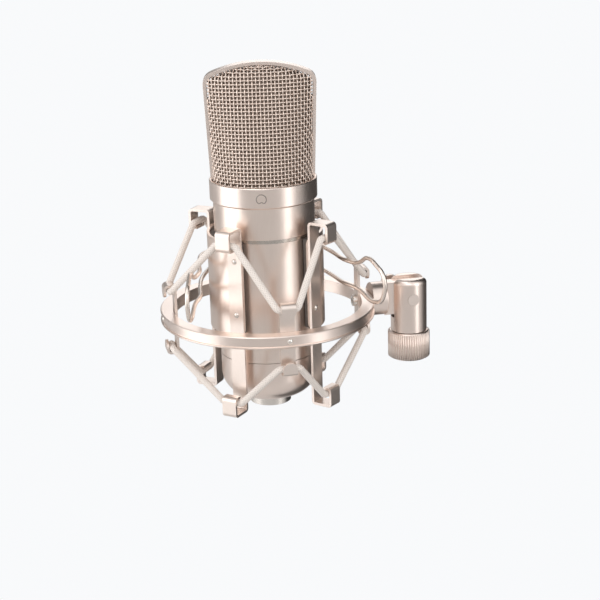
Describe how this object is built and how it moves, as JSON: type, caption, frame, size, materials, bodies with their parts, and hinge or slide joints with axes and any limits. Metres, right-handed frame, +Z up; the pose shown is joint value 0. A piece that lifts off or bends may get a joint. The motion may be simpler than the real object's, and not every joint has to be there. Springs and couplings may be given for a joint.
{
  "type": "studio condenser microphone in a spider shock mount",
  "caption": "Large-diaphragm side-address condenser microphone held in a spring-jawed cage that hangs on elastic cords in a ring, with a tilting stand swivel.",
  "frame": {"origin": "centre of the stand socket's mouth, on the stand's axis", "axes": "+Z up, along the stand and the microphone; -Y is the front of the mount; the microphone stands to -X of the stand"},
  "size_m": [0.1272, 0.0982, 0.1581],
  "materials": {
    "satin_nickel": "satin",
    "steel": "polished",
    "spring_steel": "satin",
    "handle_wire": "satin",
    "trim": "satin",
    "mesh_wire": "satin",
    "inner_wire": "matt",
    "elastic_cord": "woven",
    "liner": "matt",
    "saddle": "matt",
    "capsule_metal": "satin",
    "diaphragm": "polished",
    "black_plastic": "matt",
    "contact": "polished",
    "rail": "satin",
    "board": "matt",
    "components": "satin"
  },
  "bodies": {
    "stand_sleeve": {"thread_sleeve": "satin_nickel", "spigot_clip": "spring_steel"},
    "swivel": {"swivel_barrel": "satin_nickel", "pivot_washer": "steel"},
    "ring_mount": {"ring_boss": "satin_nickel", "boss_screw": "steel", "suspension_ring": "satin_nickel", "ring_rivets": "steel", "ring_hook_front": "satin_nickel", "ring_hook_right": "satin_nickel", "ring_hook_back": "satin_nickel", "ring_hook_left": "satin_nickel", "upper_cord": "elastic_cord", "lower_cord": "elastic_cord"},
    "wing_screw": {"wing_screw": "satin_nickel"},
    "cage_spine": {"hinge_pin": "steel", "hinge_spring": "spring_steel"},
    "jaw_right": {"shell_right": "satin_nickel", "liner_right": "liner", "arm_front_right": "satin_nickel", "arm_back_right": "satin_nickel", "rivets_right": "steel", "hinge_leaf_right": "satin_nickel", "handle_anchor_right": "satin_nickel", "squeeze_handle_left": "handle_wire"},
    "jaw_left": {"shell_left": "satin_nickel", "liner_left": "liner", "arm_front_left": "satin_nickel", "arm_back_left": "satin_nickel", "rivets_left": "steel", "hinge_leaf_left": "satin_nickel", "handle_anchor_left": "satin_nickel", "squeeze_handle_right": "handle_wire"},
    "microphone": {"head_frame": "satin_nickel", "mesh_front": "mesh_wire", "mesh_back": "mesh_wire", "inner_mesh": "inner_wire", "collar": "satin_nickel", "head_deck": "saddle", "capsule_saddle": "saddle", "saddle_screws": "steel", "capsule_ring": "capsule_metal", "diaphragm_front": "diaphragm", "diaphragm_back": "diaphragm", "upper_body": "satin_nickel", "trim_ring": "trim", "body_tube": "satin_nickel", "bottom_cup": "satin_nickel", "xlr_shell": "steel", "xlr_insert": "black_plastic", "xlr_pins": "contact", "chassis_rails": "rail", "circuit_board": "board", "board_parts": "components"}
  },
  "joints": [
    {"name": "swivel_pan", "type": "hinge", "parent": "stand_sleeve", "child": "swivel", "pos_m": [0, 0, 0.0135], "axis": [0, 0, 1], "continuous": true},
    {"name": "mount_tilt", "type": "hinge", "parent": "swivel", "child": "ring_mount", "pos_m": [0, 0, 0.0298], "axis": [0, 1, 0], "range_deg": [-8, 180]},
    {"name": "wing_turn", "type": "hinge", "parent": "swivel", "child": "wing_screw", "pos_m": [0, 0.009, 0.0298], "axis": [0, 1, 0], "continuous": true},
    {"name": "suspension_bounce", "type": "slide", "parent": "ring_mount", "child": "cage_spine", "axis": [0, 0, 1], "range_m": [-0.003, 0.003], "stiffness_N_per_m": 2200, "springref_m": 0.0026, "deforming": ["upper_cord", "lower_cord"]},
    {"name": "jaw_right_swing", "type": "hinge", "parent": "cage_spine", "child": "jaw_right", "pos_m": [-0.0675, 0.032, 0.0478], "axis": [0, 0, 1], "range_deg": [0, 2.5], "stiffness_Nm_per_rad": 3, "springref_deg": -5.73},
    {"name": "jaw_left_swing", "type": "hinge", "parent": "cage_spine", "child": "jaw_left", "pos_m": [-0.0675, 0.032, 0.0478], "axis": [0, 0, 1], "range_deg": [-2.5, 0]},
    {"name": "mic_lift", "type": "slide", "parent": "cage_spine", "child": "microphone", "axis": [0, 0, 1], "range_m": [0, 0.12]}
  ],
  "couplings": [
    {"joint": "jaw_left_swing", "follows": "jaw_right_swing", "ratio": -1}
  ]
}
